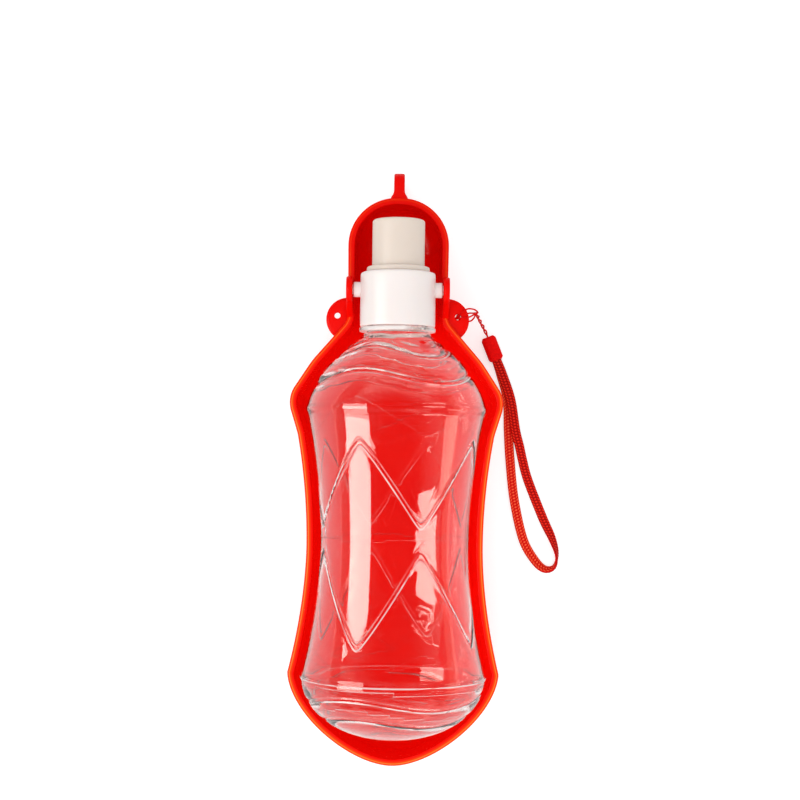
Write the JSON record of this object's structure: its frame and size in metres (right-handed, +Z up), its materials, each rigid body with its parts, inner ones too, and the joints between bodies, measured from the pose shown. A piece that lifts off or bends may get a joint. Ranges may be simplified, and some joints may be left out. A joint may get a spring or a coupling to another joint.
{
  "type": "dog travel water bottle",
  "caption": "Clear squeeze bottle with a pull spout, hinged by its screw cap in a red drinking tray that swings out as a trough, with belt clip and wrist strap.",
  "frame": {"origin": "under the middle of the tray with its belt clip, on the surface the tray's flat underside rests on, measured without the strap", "axes": "+Z up out of the tray's opening, +Y along the bottle towards the spout and the belt clip, +X to the right as seen from above with the spout away from the viewer"},
  "size_m": [0.1159, 0.248, 0.0787],
  "materials": {
    "red_shell": "glossy red moulding",
    "white_cap": "glossy white moulding",
    "cream_spout": "satin cream moulding",
    "seal_rubber": "matt",
    "washer_silicone": "matt",
    "clear_bottle": "clear blown plastic",
    "red_string": "twisted string",
    "red_ferrule": "red moulding",
    "red_webbing": "braided flat band"
  },
  "bodies": {
    "tray": {"tray": "red_shell", "lug_right": "red_shell", "lug_left": "red_shell", "ear_right": "red_shell", "ear_left": "red_shell", "belt_clip": "red_shell", "strap_string": "red_string", "strap_ferrule": "red_ferrule", "strap_band": "red_webbing"},
    "cap": {"screw_cap": "white_cap", "spout_base": "cream_spout", "spout_seal": "seal_rubber"},
    "spout": {"pull_spout": "cream_spout"},
    "washer": {"neck_gasket": "washer_silicone"},
    "bottle": {"bottle_neck": "clear_bottle", "bottle_upper": "clear_bottle", "bottle_lower": "clear_bottle"}
  },
  "joints": [
    {"name": "tray_fold", "type": "hinge", "parent": "tray", "child": "cap", "pos_m": [0, 0.07325, 0.041], "axis": [-1, 0, 0], "range_deg": [0, 150]},
    {"name": "spout_pull", "type": "slide", "parent": "cap", "child": "spout", "axis": [0, 1, 0], "range_m": [0, 0.0045]},
    {"name": "thread_lead", "type": "slide", "parent": "cap", "child": "washer", "axis": [0, -1, 0], "range_m": [0, 0.0048]},
    {"name": "bottle_unscrew", "type": "hinge", "parent": "washer", "child": "bottle", "pos_m": [0, 0.07325, 0.041], "axis": [0, -1, 0], "range_deg": [0, 540]}
  ],
  "couplings": [
    {"joint": "thread_lead", "follows": "bottle_unscrew", "m_per_rad": 0.00050611}
  ]
}
